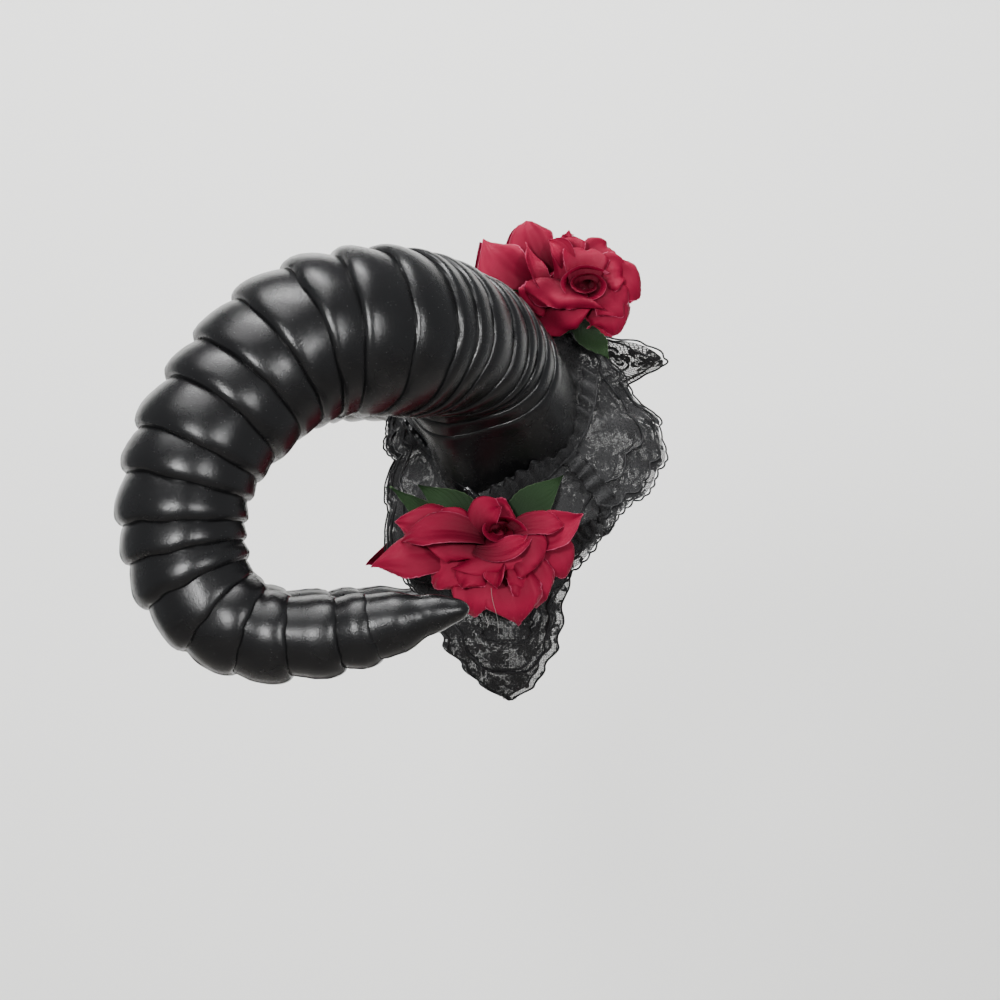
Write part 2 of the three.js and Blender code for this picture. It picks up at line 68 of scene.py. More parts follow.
for plane, paint_name, tone in (
    (wall, "wall_paint", (0.87, 0.87, 0.85, 1)),
    (ground, "floor_tone", (0.22, 0.21, 0.20, 1)),
):
    paint = bpy.data.materials.new(paint_name)
    paint.use_nodes = True
    shader = paint.node_tree.nodes["Principled BSDF"]
    shader.inputs["Base Color"].default_value = tone
    shader.inputs["Roughness"].default_value = 0.9
    plane.data.materials.append(paint)

# Two soft lamps beside the camera, a wide one above, one whose narrow beam lights only the wall,
# and a pale room all around.
WALL_BEAM = math.radians(70)
WALL_SPOT = Vector((1.3, 0.0, -0.1))
LAMPS = (
    {"name": "lamp_left", "at": (-2.4, 0.85, 0.35), "power": 38, "wide": 0.26, "tall": 0.36},
    {"name": "lamp_right", "at": (-2.3, -1.0, 0.3), "power": 20, "wide": 0.18, "tall": 0.34},
    {"name": "lamp_above", "at": (-0.7, 0.5, 2.1), "power": 30, "wide": 1.7, "tall": 1.7},
    {"name": "lamp_wall", "at": (0.35, 0.3, 2.0), "power": 40, "wide": 1.4, "tall": 1.4},
)
for lamp in LAMPS:
    bpy.ops.object.light_add(type="AREA", location=lamp["at"])
    light = bpy.context.object
    light.name = lamp["name"]
    light.data.shape = "RECTANGLE"
    light.data.size = lamp["wide"]
    light.data.size_y = lamp["tall"]
    light.data.energy = lamp["power"]
    at_wall = lamp["name"] == "lamp_wall"
    light.data.spread = WALL_BEAM if at_wall else math.pi
    aim = WALL_SPOT if at_wall else AIM
    light.rotation_euler = (aim - light.location).to_track_quat("-Z", "Y").to_euler()

room = bpy.data.worlds.new("pale_room")
bpy.context.scene.world = room
room.use_nodes = True
room.node_tree.nodes["Background"].inputs["Color"].default_value = (0.9, 0.92, 0.95, 1)
room.node_tree.nodes["Background"].inputs["Strength"].default_value = 0.32

# The hollow that the band is worn around has this form: an ellipsoid, in metres, that
# touches the origin at the crown. Cloth and lace follow it, and the horns are cut to it.
WORN_HALF = Vector((0.076, 0.0945, 0.110))
WORN_MIDDLE = Vector((0, 0.0135, -0.110 * math.sqrt(1 - (0.0135 / 0.0945) ** 2)))


def on_worn(direction, lift):
    """The point that lies a lift outside the worn hollow, in a direction from its middle."""
    normal = Vector([d / h for d, h in zip(direction, WORN_HALF)]).normalized()
    return Vector([d * h for d, h in zip(direction, WORN_HALF)]) + WORN_MIDDLE + normal * lift


def smooth(t):
    t = min(1.0, max(0.0, t))
    return t * t * (3 - 2 * t)


# Horns: each is one light foam moulding with a satin black skin, ringed by some 25 ribs that
# swell towards the tip and drop off sharply, and it is hot-glued to the band through the lace.
HORN_AXIS = (
    # out, back, up, radius over the ribs, share by which the inner side of the foot is drawn in
    (0.052, 0.031, -0.052, 0.0460, 0.30),
    (0.072, 0.037, -0.041, 0.0460, 0.30),
    (0.104, 0.051, -0.018, 0.0440, 0.22),
    (0.126, 0.061, -0.0115, 0.0428, 0.10),
    (0.146, 0.074, -0.0065, 0.0440, 0.0),
    (0.162, 0.090, -0.0045, 0.0455, 0.0),
    (0.170, 0.104, -0.0045, 0.0455, 0.0),
    (0.177, 0.131, -0.0085, 0.0447, 0.0),
    (0.181, 0.150, -0.0185, 0.0432, 0.0),
    (0.185, 0.165, -0.0315, 0.0405, 0.0),
    (0.194, 0.191, -0.0645, 0.0373, 0.0),
    (0.197, 0.201, -0.0960, 0.0350, 0.0),
    (0.199, 0.198, -0.1270, 0.0323, 0.0),
    (0.202, 0.1845, -0.1505, 0.0288, 0.0),
    (0.206, 0.160, -0.1640, 0.0256, 0.0),
    (0.210, 0.134, -0.1650, 0.0226, 0.0),
    (0.213, 0.111, -0.1625, 0.0202, 0.0),
    (0.216, 0.090, -0.1575, 0.0165, 0.0),
    (0.218, 0.072, -0.1530, 0.0105, 0.0),
    (0.221, 0.0515, -0.1495, 0.0050, 0.0),
)
CURL_MIDDLE = Vector((-0.195, 0.108, -0.084))
GROOVES = (
    # millimetres along the axis from its first point, depth in millimetres
    (36, 1.3), (46, 1.4), (57, 1.5), (68, 1.8), (79, 2.0), (92, 2.4), (110, 2.4),
    (120, 2.2), (131, 3.0), (148, 3.4), (167, 3.8), (185, 3.8), (206, 4.2), (228, 4.2),
    (250, 4.2), (273, 4.0), (291, 3.8), (311, 3.4), (326, 3.0), (344, 3.0), (363, 3.0),
    (383, 2.8), (405, 2.8), (431, 2.6), (449, 1.2),
)
RIB_CREST = 0.7
RIB_STEPS = 24
TIP_STEPS = 30
TIP_ROUNDING = 6.5
FOOT_FADE = (72, 50)
SEAM_WIDE = 0.006
AROUND = 120
FOOT_DOWN = Vector((0, 0.34, -1)).normalized()
FOOT_DROP = 0.030


def smooth_path(points, steps):
    """Points of a smooth curve through the given ones, with the row that each lies in."""
    track = []
    for i in range(len(points) - 1):
        p1, p2 = points[i], points[i + 1]
        p0 = points[i - 1] if i else 2 * p1 - p2
        p3 = points[i + 2] if i + 2 < len(points) else 2 * p2 - p1
        d = [math.sqrt((b - a).length) for a, b in ((p0, p1), (p1, p2), (p2, p3))]
        leave = ((p1 - p0) / d[0] - (p2 - p0) / (d[0] + d[1]) + (p2 - p1) / d[1]) * d[1]
        reach = ((p2 - p1) / d[1] - (p3 - p1) / (d[1] + d[2]) + (p3 - p2) / d[2]) * d[1]
        for k in range(steps):
            t = k / steps
            place = (p1 * (2 * t**3 - 3 * t**2 + 1) + leave * (t**3 - 2 * t**2 + t)
                     + p2 * (3 * t**2 - 2 * t**3) + reach * (t**3 - t**2))
            track.append((place, i + t))
    track.append((points[-1], len(points) - 1.0))
    return track


def along_track(track):
    """Gives a lookup from millimetres along the track to its place, direction and row."""
    runs = [0.0]
    for (a, _), (b, _) in zip(track, track[1:]):
        runs.append(runs[-1] + (b - a).length * 1000)

    def at(run):
        run = min(max(run, 0.0), runs[-1])
        low, high = 0, len(runs) - 1
        while high - low > 1:
            middle = (low + high) // 2
            if runs[middle] > run:
                high = middle
            else:
                low = middle
        t = (run - runs[low]) / (runs[high] - runs[low])
        place = track[low][0].lerp(track[high][0], t)
        row = track[low][1] * (1 - t) + track[high][1] * t
        before = track[max(low - 3, 0)][0]
        after = track[min(high + 3, len(track) - 1)][0]
        return place, (after - before).normalized(), row

    return at, runs[-1]


def grid_piece(name, across, along, place):
    """A grid primitive whose points are moved to place(u, v), both from 0 to 1."""
    bpy.ops.object.select_all(action="DESELECT")
    bpy.ops.mesh.primitive_grid_add(x_subdivisions=across, y_subdivisions=along, size=1)
    piece = bpy.context.object
    piece.name = name
    piece.data.name = name
    for point in piece.data.vertices:
        point.co = place(point.co.x + 0.5, point.co.y + 0.5)
    return piece


def select_only(piece):
    bpy.ops.object.select_all(action="DESELECT")
    piece.select_set(True)
    bpy.context.view_layer.objects.active = piece


def close_up(piece, distance):
    """Joins the points that meet and turns the faces the right way out."""
    select_only(piece)
    bpy.ops.object.mode_set(mode="EDIT")
    bpy.ops.mesh.select_all(action="SELECT")
    bpy.ops.mesh.remove_doubles(threshold=distance)
    bpy.ops.mesh.normals_make_consistent(inside=False)
    bpy.ops.object.mode_set(mode="OBJECT")


def fill_ends(piece):
    select_only(piece)
    bpy.ops.object.mode_set(mode="EDIT")
    bpy.ops.mesh.select_all(action="DESELECT")
    bpy.ops.mesh.select_non_manifold(extend=False, use_wire=False, use_multi_face=False)
    bpy.ops.mesh.fill(use_beauty=False)
    bpy.ops.mesh.select_all(action="SELECT")
    bpy.ops.mesh.normals_make_consistent(inside=False)
    bpy.ops.object.mode_set(mode="OBJECT")


horn_at, horn_length = along_track(
    smooth_path([Vector((-out, back, up)) for out, back, up, _, _ in HORN_AXIS], 30))


def horn_row(row, column):
    i = min(int(row), len(HORN_AXIS) - 2)
    share = smooth(row - i)
    return HORN_AXIS[i][column] * (1 - share) + HORN_AXIS[i + 1][column] * share


horn_stations = [0.0, 8.0, 15.0]
for (start, _), (stop, _) in zip(GROOVES, GROOVES[1:]):
    for k in range(RIB_STEPS):
        t = k / RIB_STEPS
        horn_stations.append(start + (stop - start) * math.sin(t * math.pi / 2) ** 0.9)
tip_start = GROOVES[-1][0]
for k in range(TIP_STEPS + 1):
    t = k / TIP_STEPS
    horn_stations.append(tip_start + (horn_length - tip_start) * math.sin(t * math.pi / 2))


def rib_sink(run, angle):
    """How far the skin lies under the ribs' reach, in millimetres, between two grooves."""
    if run < GROOVES[0][0]:
        return 0.6
    side_share = 0.95 + 0.30 * math.cos(angle)
    for (start, first), (stop, second) in zip(GROOVES, GROOVES[1:]):
        if run < stop:
            t = (run - start) / (stop - start)
            deep = first * (1 - t) + second * t
            if t < RIB_CREST:
                swell = 1 - (1 - t / RIB_CREST) ** 1.55
            else:
                swell = math.sqrt(max(0.0, 1 - ((t - RIB_CREST) / (1 - RIB_CREST)) ** 2.5))
            return deep * side_share * (1 - swell)
    t = min(1.0, (run - GROOVES[-1][0]) / 9)
    return GROOVES[-1][1] * (1 - t) ** 2


def horn_point(u, v):
    station = v * (len(horn_stations) - 1)
    low = min(int(station), len(horn_stations) - 2)
    run = horn_stations[low] + (horn_stations[low + 1] - horn_stations[low]) * (station - low)
    angle = 2 * math.pi * u
    wobble = 1.3 * noise.noise(Vector((2.0 * math.cos(angle), 2.0 * math.sin(angle), run * 0.02)))
    middle, direction, row = horn_at(run + wobble * min(1.0, run / 30, (horn_length - run) / 30))
    outward = middle - CURL_MIDDLE
    outward = (outward - direction * outward.dot(direction)).normalized()
    sideways = direction.cross(outward)
    sink = rib_sink(run, angle)
    radius = horn_row(row, 3) - 0.001 * sink
    radius *= 1 - horn_row(row, 4) * max(0.0, -math.cos(angle)) ** 2
    ray = outward * math.cos(angle) + sideways * math.sin(angle)
    radius += FOOT_DROP * max(0.0, ray.dot(FOOT_DOWN)) ** 8 * smooth((FOOT_FADE[0] - run) / FOOT_FADE[1])
    left = (horn_length - run) / TIP_ROUNDING
    if left < 1:
        radius *= math.sqrt(max(0.0, 1 - (1 - left) ** 2))
    soft = noise.noise(middle * 30 + outward * 0.9 * math.cos(angle) + sideways * 0.9 * math.sin(angle))
    radius += 0.0006 * soft
    ridge = 0.0007 * math.exp(-(min(u, 1 - u) / SEAM_WIDE) ** 2)
    ridge += 0.0006 * math.exp(-((u - 0.5) / SEAM_WIDE) ** 2)
    radius += ridge * (0.5 + 0.9 * abs(noise.noise(middle * 160))) * (1 if left > 3 else 0)
    return middle + outward * radius * math.cos(angle) + sideways * radius * math.sin(angle)


horn_right = grid_piece("horn_skin_right", AROUND, len(horn_stations) - 1, horn_point)
close_up(horn_right, 1e-6)
fill_ends(horn_right)

# The foot is cut to the lace that lies over the band.
FOOT_LIFT = 0.0072
bpy.ops.object.select_all(action="DESELECT")
bpy.ops.mesh.primitive_uv_sphere_add(segments=96, ring_count=64, radius=1)
cutter = bpy.context.object
for point in cutter.data.vertices:
    point.co = Vector([c * (h + FOOT_LIFT) for c, h in zip(point.co, WORN_HALF)]) + WORN_MIDDLE
cut = horn_right.modifiers.new("foot", "BOOLEAN")
cut.operation = "DIFFERENCE"
cut.object = cutter
select_only(horn_right)
bpy.ops.object.modifier_apply(modifier=cut.name)
bpy.data.objects.remove(cutter, do_unlink=True)


def mirrored_copy(piece, name):
    """A copy on the wearer's left side, with its faces turned the right way out."""
    twin = piece.copy()
    twin.data = piece.data.copy()
    twin.name = name
    twin.data.name = name
    bpy.context.scene.collection.objects.link(twin)
    twin.data.transform(Matrix.Scale(-1, 4, (1, 0, 0)))
    twin.data.flip_normals()
    return twin


def shade(piece, degrees=60):
    select_only(piece)
    bpy.ops.object.shade_smooth_by_angle(angle=math.radians(degrees))


def material(name, colour, roughness):
    """A new material with its node tree and its shader."""
    finish = bpy.data.materials.new(name)
    finish.use_nodes = True
    tree = finish.node_tree
    body = tree.nodes["Principled BSDF"]
    body.inputs["Base Color"].default_value = (*colour, 1)
    body.inputs["Roughness"].default_value = roughness
    return finish, tree, body


def speckle(tree, scale, detail=2):
    """A noise texture on the piece's own place, from 0 to 1."""
    where = tree.nodes.new("ShaderNodeTexCoord")
    pattern = tree.nodes.new("ShaderNodeTexNoise")
    pattern.inputs["Scale"].default_value = scale
    pattern.inputs["Detail"].default_value = detail
    tree.links.new(where.outputs["Object"], pattern.inputs["Vector"])
    return pattern.outputs["Fac"]


def spread_out(tree, value, old, new):
    """Maps the range old onto the range new."""
    spread = tree.nodes.new("ShaderNodeMapRange")
    for label, limit in zip(("From Min", "From Max", "To Min", "To Max"), (*old, *new)):
        spread.inputs[label].default_value = limit
    tree.links.new(value, spread.inputs["Value"])
    return spread.outputs["Result"]


def bump(tree, body, height, distance, strength=1):
    relief = tree.nodes.new("ShaderNodeBump")
    relief.inputs["Strength"].default_value = strength
    relief.inputs["Distance"].default_value = distance
    tree.links.new(height, relief.inputs["Height"])
    tree.links.new(relief.outputs["Normal"], body.inputs["Normal"])


horn_skin, tree, body = material("horn_skin", (0.0065, 0.0065, 0.007), 0.34)
body.inputs["Specular IOR Level"].default_value = 0.6
gloss = spread_out(tree, speckle(tree, 45, 4), (0.3, 0.7), (0.20, 0.31))
tree.links.new(gloss, body.inputs["Roughness"])
where = tree.nodes.new("ShaderNodeTexCoord")
bubbles = tree.nodes.new("ShaderNodeTexVoronoi")
bubbles.inputs["Scale"].default_value = 420
tree.links.new(where.outputs["Object"], bubbles.inputs["Vector"])
dust = tree.nodes.new("ShaderNodeValToRGB")
dust.color_ramp.elements[0].position = 0.045
dust.color_ramp.elements[0].color = (0.14, 0.14, 0.14, 1)
dust.color_ramp.elements[1].position = 0.075
dust.color_ramp.elements[1].color = (0.0065, 0.0065, 0.007, 1)
tree.links.new(bubbles.outputs["Distance"], dust.inputs["Fac"])
tree.links.new(dust.outputs["Color"], body.inputs["Base Color"])
bump(tree, body, speckle(tree, 1250, 3), 0.0003, 0.5)

horn_right.data.materials.append(horn_skin)
horn_left = mirrored_copy(horn_right, "horn_skin_left")
for horn, node in ((horn_right, "horn_right"), (horn_left, "horn_left")):
    shade(horn, 40)
    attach(horn, "root")
    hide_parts(node)

# Band: one hard U strip, covered in fuzzy matte black cloth, sprung over the crown. It is a thin
# curved slab that follows the worn hollow, with loose fibres standing off the cloth.
BAND_LOOP = 0.1095
BAND_WIDE = 0.028
BAND_THICK = 0.0027
BAND_LEAN = math.radians(8.8)
BAND_END = math.radians(117)
LEAN_DOWN = Vector((0, math.sin(BAND_LEAN), -math.cos(BAND_LEAN)))
LEAN_ACROSS = Vector((0, math.cos(BAND_LEAN), math.sin(BAND_LEAN)))


def band_point(turn, share, lift):
    past = (abs(turn) - BAND_END + math.radians(9)) / math.radians(9)
    ray = -math.cos(turn) * LEAN_DOWN + Vector((math.sin(turn), 0, 0))
    spot = LEAN_DOWN * BAND_LOOP + Vector((ray.x * WORN_HALF.x, ray.y * BAND_LOOP, ray.z * BAND_LOOP))
    spot += LEAN_ACROSS * share * BAND_WIDE * (1 - 0.35 * smooth(past))
    spot -= WORN_MIDDLE
    direction = Vector([s / h for s, h in zip(spot, WORN_HALF)]).normalized()
    return on_worn(direction, lift)


def band_skin(u, v):
    turn = (2 * v - 1) * BAND_END
    swing = 2 * math.pi * u
    square = [max(-1.0, min(1.0, 1.25 * c)) for c in (math.sin(swing), math.cos(swing))]
    lift = BAND_THICK * (0.5 + 0.5 * square[1])
    return band_point(turn, 0.5 * square[0], lift)


band = grid_piece("band_cloth", 24, 200, band_skin)
close_up(band, 1e-7)
fill_ends(band)
shade(band, 40)

band_cloth, tree, body = material("band_cloth", (0.010, 0.010, 0.011), 0.95)
body.inputs["Sheen Weight"].default_value = 0.25
bump(tree, body, speckle(tree, 700), 0.0008)
band.data.materials.append(band_cloth)
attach(band, "root")
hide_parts("headband")


# Lace: black floral net in two pieces a side, a round collar over a lower lobe, both with
# scalloped corded edges. It is laid round the horn foot over the band and glued down.
HORN_FOOT_BACK, HORN_FOOT_UP, HORN_FOOT_REACH = 0.037, -0.041, 31
LACE_THICK, DROP_LIFT, COLLAR_LIFT, RIM_LIFT, LACE_FALL = 0.0012, 0.0032, 0.0055, 0.0009, 12
COLLAR_RIM = (
    # degrees round the foot from the front, reach in degrees of arc, how far the rim stands off
    (0, 57, 0), (12, 49, 0), (25, 46, 0), (40, 43, 0), (54, 46, 0), (68, 48, 0), (84, 45, 0),
    (104, 42, 0), (126, 40, 0), (162, 33, 0), (182, 34, 1), (195, 33, 0), (209, 42, 0),
    (225, 56, 1), (244, 58, 0), (272, 57, 0), (290, 58, 1), (304, 54, 3), (318, 52, 3),
    (332, 56, 1), (348, 59, 0), (360, 57, 0),
)
# the far collar's fold: where it stands round the foot, its half width, extra reach and height
FOLD_TURN, FOLD_HALF, FOLD_REACH, FOLD_STAND = 29, 16, 17, 15
CM_PER_DEGREE = 0.155
DROP_START, DROP_NECK = 0.16, 0.5
DROP_TOP, DROP_BOTTOM, DROP_BACK, BAND_END_UP = -0.078, -0.199, 0.025, -0.166
DROP_WIDTHS = (
    # metres down from its top, half widths to the front and to the back
    (0.0, 0.030, 0.030), (0.018, 0.036, 0.048), (0.036, 0.026, 0.056), (0.056, 0.031, 0.053),
    (0.066, 0.027, 0.044), (0.080, 0.026, 0.040), (0.092, 0.024, 0.033), (0.104, 0.018, 0.024),
    (0.114, 0.012, 0.014), (0.121, 0.003, 0.004),
)


def read_rows(rows, at, column):
    """The value in a column of the rows, eased between the two rows that lie about a place."""
    for low, high in zip(rows, rows[1:]):
        if at <= high[0]:
            share = smooth((at - low[0]) / (high[0] - low[0]))
            return low[column] * (1 - share) + high[column] * share
    return rows[-1][column]


def worn_direction(back, up):
    y = (back - WORN_MIDDLE.y) / WORN_HALF.y
    z = (up - WORN_MIDDLE.z) / WORN_HALF.z
    return Vector((-math.sqrt(max(0.0004, 1 - y * y - z * z)), y, z)).normalized()


FOOT = worn_direction(HORN_FOOT_BACK, HORN_FOOT_UP)
FOOT_FRONT = (Vector((0, -1, 0)) + FOOT * FOOT.y).normalized()
FOOT_UP = FOOT_FRONT.cross(FOOT).normalized()
FOOT_UP *= 1 if FOOT_UP.z > 0 else -1


def off_band(direction):
    """Millimetres from the middle line of the band."""
    spot = on_worn(direction, 0)
    return abs(spot.y * math.cos(BAND_LEAN) + spot.z * math.sin(BAND_LEAN)) * 1000


def collar_place(turn, share, far):
    reach = read_rows(COLLAR_RIM, turn, 1)
    stand = read_rows(COLLAR_RIM, turn, 2)
    if far:
        near = 1 - smooth(abs(turn - FOLD_TURN) / FOLD_HALF)
        reach += FOLD_REACH * near
        stand += FOLD_STAND * near
    reach += 1.6 * (abs(math.sin(math.radians(turn) * 11)) - 0.5)
    rho = math.radians(reach * share)
    level = FOOT_FRONT * math.cos(math.radians(turn)) + FOOT_UP * math.sin(math.radians(turn))
    direction = (FOOT * math.cos(rho) + level * math.sin(rho)).normalized()
    near_horn = 1 - smooth((math.degrees(rho) - HORN_FOOT_REACH) / LACE_FALL)
    near_band = 1 - smooth((off_band(direction) - 20) / LACE_FALL)
    near_drop = smooth((DROP_TOP * 1000 + 34 - on_worn(direction, 0).z * 1000) / LACE_FALL)
    up = max(near_horn, near_band, near_drop)
    lift = RIM_LIFT + (COLLAR_LIFT - RIM_LIFT) * up + 0.001 * stand * share**9
    crumple = noise.noise(Vector((math.radians(turn) * 5, share * 4, 2.0)))
    lift += 0.0016 * max(0.0, crumple + 0.25) * smooth((share - 0.5) / 0.3)
    lift += 0.0011 * (1 + math.sin(math.radians(turn) * 22)) * smooth((share - 0.86) / 0.14)
    return direction, lift + 0.5 * LACE_THICK


def drop_place(side, share):
    narrow = DROP_NECK + (1 - DROP_NECK) * smooth(share / 0.2)
    share = DROP_START + (1 - DROP_START) * share
    down = (DROP_TOP - DROP_BOTTOM) * share
    width = narrow * read_rows(DROP_WIDTHS, down, 1 if side < 0 else 2)
    width *= 1 + 0.03 * math.cos(share * 48)
    direction = worn_direction(DROP_BACK + side * width, DROP_TOP - down)
    band_end = smooth((BAND_END_UP - (DROP_TOP - down)) * 1000 / LACE_FALL)
    away = smooth((off_band(direction) - 20) / LACE_FALL)
    lift = RIM_LIFT + (DROP_LIFT - RIM_LIFT) * (1 - band_end) * (1 - away)
    lift += 0.0007 * max(0.0, noise.noise(Vector((side * 3, share * 8, 5.0))))
    return direction, lift + 0.5 * LACE_THICK


def flat_map(piece, spread):
    """Gives the piece a UV map in centimetres of the flat cloth."""
    layer = piece.data.uv_layers[0].data
    for loop in piece.data.loops:
        layer[loop.index].uv = spread[loop.vertex_index]


def side_of(piece, left):
    if left:
        piece.data.transform(Matrix.Scale(-1, 4, (1, 0, 0)))
        piece.data.flip_normals()
    return piece


def tube(name, line, thick, around, along):
    """A cord that follows line(v), which gives its place and the way that its side looks."""
    def place(u, v):
        middle, aside = line(v)
        ahead = (line(min(1.0, v + 0.002))[0] - line(max(0.0, v - 0.002))[0]).normalized()
        aside = (aside - ahead * aside.dot(ahead)).normalized()
        third = ahead.cross(aside)
        swing = 2 * math.pi * u
        return middle + 0.5 * thick * (aside * math.cos(swing) + third * math.sin(swing))

    cord = grid_piece(name, around, along, place)
    close_up(cord, thick * 0.02)
    shade(cord)
    return cord


lace_net, tree, body = material("lace_net", (0.0075, 0.0075, 0.0085), 0.62)
body.inputs["Sheen Weight"].default_value = 0.15
map_out = tree.nodes.new("ShaderNodeUVMap")
cells = tree.nodes.new("ShaderNodeTexVoronoi")
cells.voronoi_dimensions = "2D"
cells.feature = "DISTANCE_TO_EDGE"
cells.inputs["Scale"].default_value = 12
cells.inputs["Randomness"].default_value = 0.5
flowers = tree.nodes.new("ShaderNodeTexVoronoi")
flowers.voronoi_dimensions = "2D"
flowers.inputs["Scale"].default_value = 0.72
flowers.inputs["Randomness"].default_value = 0.55
tree.links.new(map_out.outputs["UV"], cells.inputs["Vector"])
tree.links.new(map_out.outputs["UV"], flowers.inputs["Vector"])


def maths(tree, operation, first, second=None):
    step = tree.nodes.new("ShaderNodeMath")
    step.operation = operation
    for slot_number, value in enumerate((first, second)):
        if value is None:
            continue
        if isinstance(value, (int, float)):
            step.inputs[slot_number].default_value = value
        else:
            tree.links.new(value, step.inputs[slot_number])
    return step.outputs[0]


from_heart = tree.nodes.new("ShaderNodeVectorMath")
from_heart.operation = "SUBTRACT"
tree.links.new(map_out.outputs["UV"], from_heart.inputs[0])
tree.links.new(flowers.outputs["Position"], from_heart.inputs[1])
parts = tree.nodes.new("ShaderNodeSeparateXYZ")
tree.links.new(from_heart.outputs["Vector"], parts.inputs["Vector"])
swing = maths(tree, "ARCTAN2", parts.outputs["Y"], parts.outputs["X"])
lobes = maths(tree, "ABSOLUTE", maths(tree, "COSINE", maths(tree, "MULTIPLY", swing, 2.5)))
across = maths(tree, "POWER", parts.outputs["X"], 2.0)
distance = maths(tree, "SQRT", maths(tree, "ADD", across, maths(tree, "POWER", parts.outputs["Y"], 2.0)))
petal_edge = maths(tree, "ADD", maths(tree, "MULTIPLY", lobes, 0.34), 0.22)
in_flower = maths(tree, "LESS_THAN", distance, petal_edge)
off_ring = maths(tree, "SUBTRACT", distance, maths(tree, "MULTIPLY", petal_edge, 0.62))
in_hollow = maths(tree, "LESS_THAN", maths(tree, "ABSOLUTE", off_ring), 0.045)
vine = tree.nodes.new("ShaderNodeTexNoise")
vine.noise_dimensions = "2D"
vine.inputs["Scale"].default_value = 1.5
vine.inputs["Detail"].default_value = 1
tree.links.new(map_out.outputs["UV"], vine.inputs["Vector"])
off_vine = maths(tree, "ABSOLUTE", maths(tree, "SUBTRACT", vine.outputs["Fac"], 0.5))
in_vine = maths(tree, "LESS_THAN", off_vine, 0.022)
in_net = maths(tree, "LESS_THAN", cells.outputs["Distance"], 0.16)
cover = maths(tree, "MAXIMUM", maths(tree, "SUBTRACT", in_flower, maths(tree, "MULTIPLY", in_hollow, 0.75)),
              maths(tree, "MAXIMUM", in_vine, in_net))
tree.links.new(maths(tree, "MINIMUM", maths(tree, "ADD", cover, 0.52), 1.0), body.inputs["Alpha"])
raised = maths(tree, "ADD", maths(tree, "ADD", in_flower, in_vine), maths(tree, "MULTIPLY", in_net, 0.6))
bump(tree, body, raised, 0.0007, 0.9)

lace_cord, tree, body = material("lace_cord", (0.009, 0.009, 0.010), 0.55)
bump(tree, body, speckle(tree, 1200), 0.0004)


def finish_lace(sheet, cords, node):
    sheet.data.materials.append(lace_net)
    shade(sheet)
    for piece in (sheet, *cords):
        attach(piece, "root")
    for cord in cords:
        cord.data.materials.append(lace_cord)
    if node:
        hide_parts(node)


for side_name, left in (("right", False), ("left", True)):
    spread = []

    def collar_skin(u, v):
        turn = 360 * u
        direction, lift = collar_place(turn, 0.02 + 0.98 * v, left)
        reach = read_rows(COLLAR_RIM, turn, 1) * CM_PER_DEGREE * (0.02 + 0.98 * v)
        spread.append((reach * math.cos(math.radians(turn)), reach * math.sin(math.radians(turn))))
        return on_worn(direction, lift)

    collar = grid_piece(f"lace_collar_net_{side_name}", 220, 60, collar_skin)
    flat_map(collar, spread)

    def hem_line(share, waves, depth):
        def line(v):
            turn = 360 * v
            beat = 1 + depth * abs(math.sin(math.radians(turn) * waves))
            direction, lift = collar_place(turn, share * beat, left)
            spot = on_worn(direction, lift + 0.0006)
            return spot, spot - WORN_MIDDLE
        return line

    hems = [
        tube(f"collar_edge_{side_name}", hem_line(1.0, 44, 0.012), 0.0011, 6, 520),
        tube(f"collar_hem_{side_name}", hem_line(0.945, 22, 0.02), 0.0012, 6, 420),
        tube(f"collar_vine_{side_name}", hem_line(0.80, 9, 0.06), 0.0013, 6, 360),
    ]
    for piece in (collar, *hems):
        side_of(piece, left)
    finish_lace(collar, hems, f"lace_collar_{side_name}")

    spread = []

    def drop_skin(u, v):
        direction, lift = drop_place(2 * u - 1, v)
        spot = on_worn(direction, lift)
        spread.append((spot.y * 100, spot.z * 100))
        return spot

    drop = grid_piece(f"lace_drop_net_{side_name}", 80, 110, drop_skin)
    flat_map(drop, spread)

    def drop_line(inset, beat):
        def line(v):
            swing = 2 * math.pi * v
            share = 0.5 - 0.5 * math.cos(swing) * inset
            edge = (1 if v < 0.5 else -1) * min(1.0, 1.4 * abs(math.sin(swing)) ** 0.5) * inset
            edge *= 1 + beat * math.cos(v * 130)
            direction, lift = drop_place(edge, min(1.0, max(0.0, share)))
            spot = on_worn(direction, lift + 0.0005)
            return spot, spot - WORN_MIDDLE
        return line

    drop_cords = [
        tube(f"drop_edge_{side_name}", drop_line(1.0, 0.012), 0.0011, 6, 420),
        tube(f"drop_curve_{side_name}", drop_line(0.72, 0.02), 0.0016, 6, 300),
        tube(f"drop_heart_{side_name}", drop_line(0.4, 0.06), 0.0012, 6, 240),
    ]
    for piece in (drop, *drop_cords):
        side_of(piece, left)
    finish_lace(drop, drop_cords, f"lace_drop_{side_name}")


